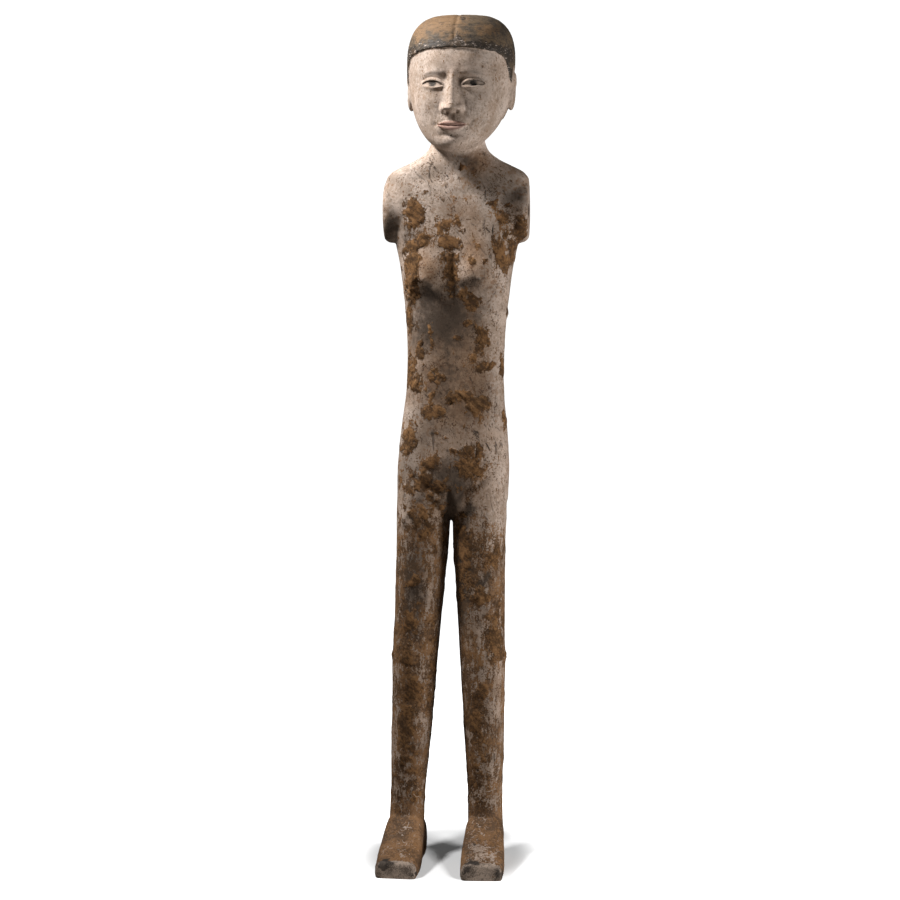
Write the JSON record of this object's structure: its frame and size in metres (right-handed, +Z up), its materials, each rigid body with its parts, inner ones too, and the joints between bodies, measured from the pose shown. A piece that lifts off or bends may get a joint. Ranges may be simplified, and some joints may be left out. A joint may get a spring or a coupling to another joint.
{
  "type": "tomb figure",
  "caption": "Slender standing armless figure of fired clay with centre-parted hair, flat round shoulder ends with peg sockets, and straight legs on flat feet.",
  "frame": {"origin": "middle of the bounding box's footprint, on the plane of the soles", "axes": "+Z up along the figure, the figure faces -Y, its left shoulder is towards +X"},
  "size_m": [0.1034, 0.0986, 0.6],
  "materials": {
    "clay": "matt pale slip over fired clay, patched with brown burial soil"
  },
  "bodies": {
    "root": {"figure": "clay"}
  },
  "joints": []
}
